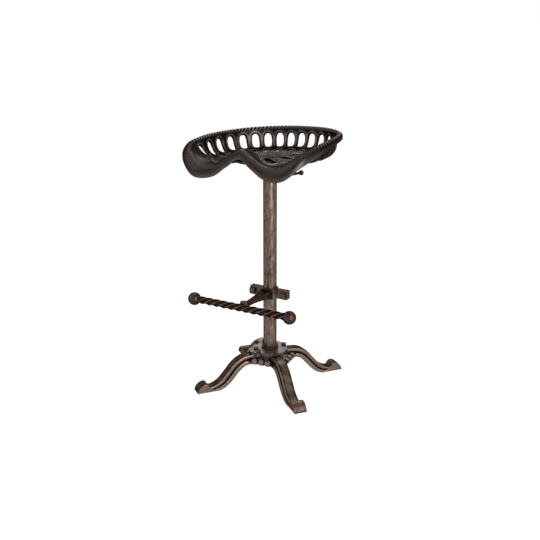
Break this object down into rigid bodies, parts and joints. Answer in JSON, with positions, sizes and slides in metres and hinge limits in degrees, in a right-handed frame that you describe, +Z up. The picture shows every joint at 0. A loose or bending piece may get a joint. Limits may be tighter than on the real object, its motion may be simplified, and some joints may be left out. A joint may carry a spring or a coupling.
{
  "type": "tractor seat stool",
  "caption": "Cast tractor seat stool: pierced swivel seat on a height-adjustable pipe column, clamped twisted footrest bar, splayed cast legs.",
  "frame": {"origin": "the column's axis on the floor", "axes": "+Z up along the column, -Y towards the front of the seat and the footrest bar, +X to the sitter's left, the picture's right"},
  "size_m": [0.4463, 0.4211, 0.8074],
  "materials": {
    "seat_iron": "satin",
    "base_iron": "satin",
    "column_pipe": "satin",
    "footrest_iron": "satin",
    "bar_steel": "satin",
    "dark_fasteners": "satin",
    "collar_iron": "satin",
    "post_steel": "satin",
    "bearing_brass": "satin",
    "bush_plastic": "matte"
  },
  "bodies": {
    "base": {"leg_back_right": "base_iron", "leg_back_left": "base_iron", "leg_front_left": "base_iron", "leg_front_right": "base_iron", "hub_block": "base_iron", "hub_plate": "base_iron", "brace_back": "base_iron", "brace_left": "base_iron", "brace_front": "base_iron", "brace_right": "base_iron", "leg_bolts": "dark_fasteners", "ear_bolts": "dark_fasteners", "ear_nuts": "dark_fasteners", "foot_collar": "collar_iron", "collar_grub_screw": "dark_fasteners", "column_tube": "column_pipe", "guide_bush": "bush_plastic", "lock_collar": "collar_iron"},
    "lever": {"lock_screw": "dark_fasteners", "lever_arm": "dark_fasteners", "lever_ball": "dark_fasteners"},
    "post": {"inner_post": "post_steel", "post_foot_bush": "bush_plastic", "post_cap": "post_steel", "thrust_washer": "bearing_brass", "retaining_ring": "post_steel"},
    "seat": {"seat_pan": "seat_iron", "seat_hub": "seat_iron", "hub_bush": "bearing_brass", "seat_bolts": "dark_fasteners", "seat_nuts": "dark_fasteners"},
    "footrest": {"clamp_front": "footrest_iron", "clamp_rear": "footrest_iron", "clamp_bolts": "dark_fasteners", "clamp_nuts": "dark_fasteners", "footrest_bar": "bar_steel", "bar_ball_left": "footrest_iron", "bar_ball_right": "footrest_iron"}
  },
  "joints": [
    {"name": "lever_turn", "type": "hinge", "parent": "base", "child": "lever", "pos_m": [0.05321, -0.02043, 0.684], "axis": [0.9336, -0.3584, 0], "range_deg": [-80, 0]},
    {"name": "post_slide", "type": "slide", "parent": "base", "child": "post", "axis": [0, 0, 1], "range_m": [0, 0.15]},
    {"name": "seat_swivel", "type": "hinge", "parent": "post", "child": "seat", "pos_m": [0, 0, 0.72], "axis": [0, 0, 1], "continuous": true},
    {"name": "footrest_slide", "type": "slide", "parent": "base", "child": "footrest", "axis": [0, 0, 1], "range_m": [-0.15, 0.27]}
  ]
}
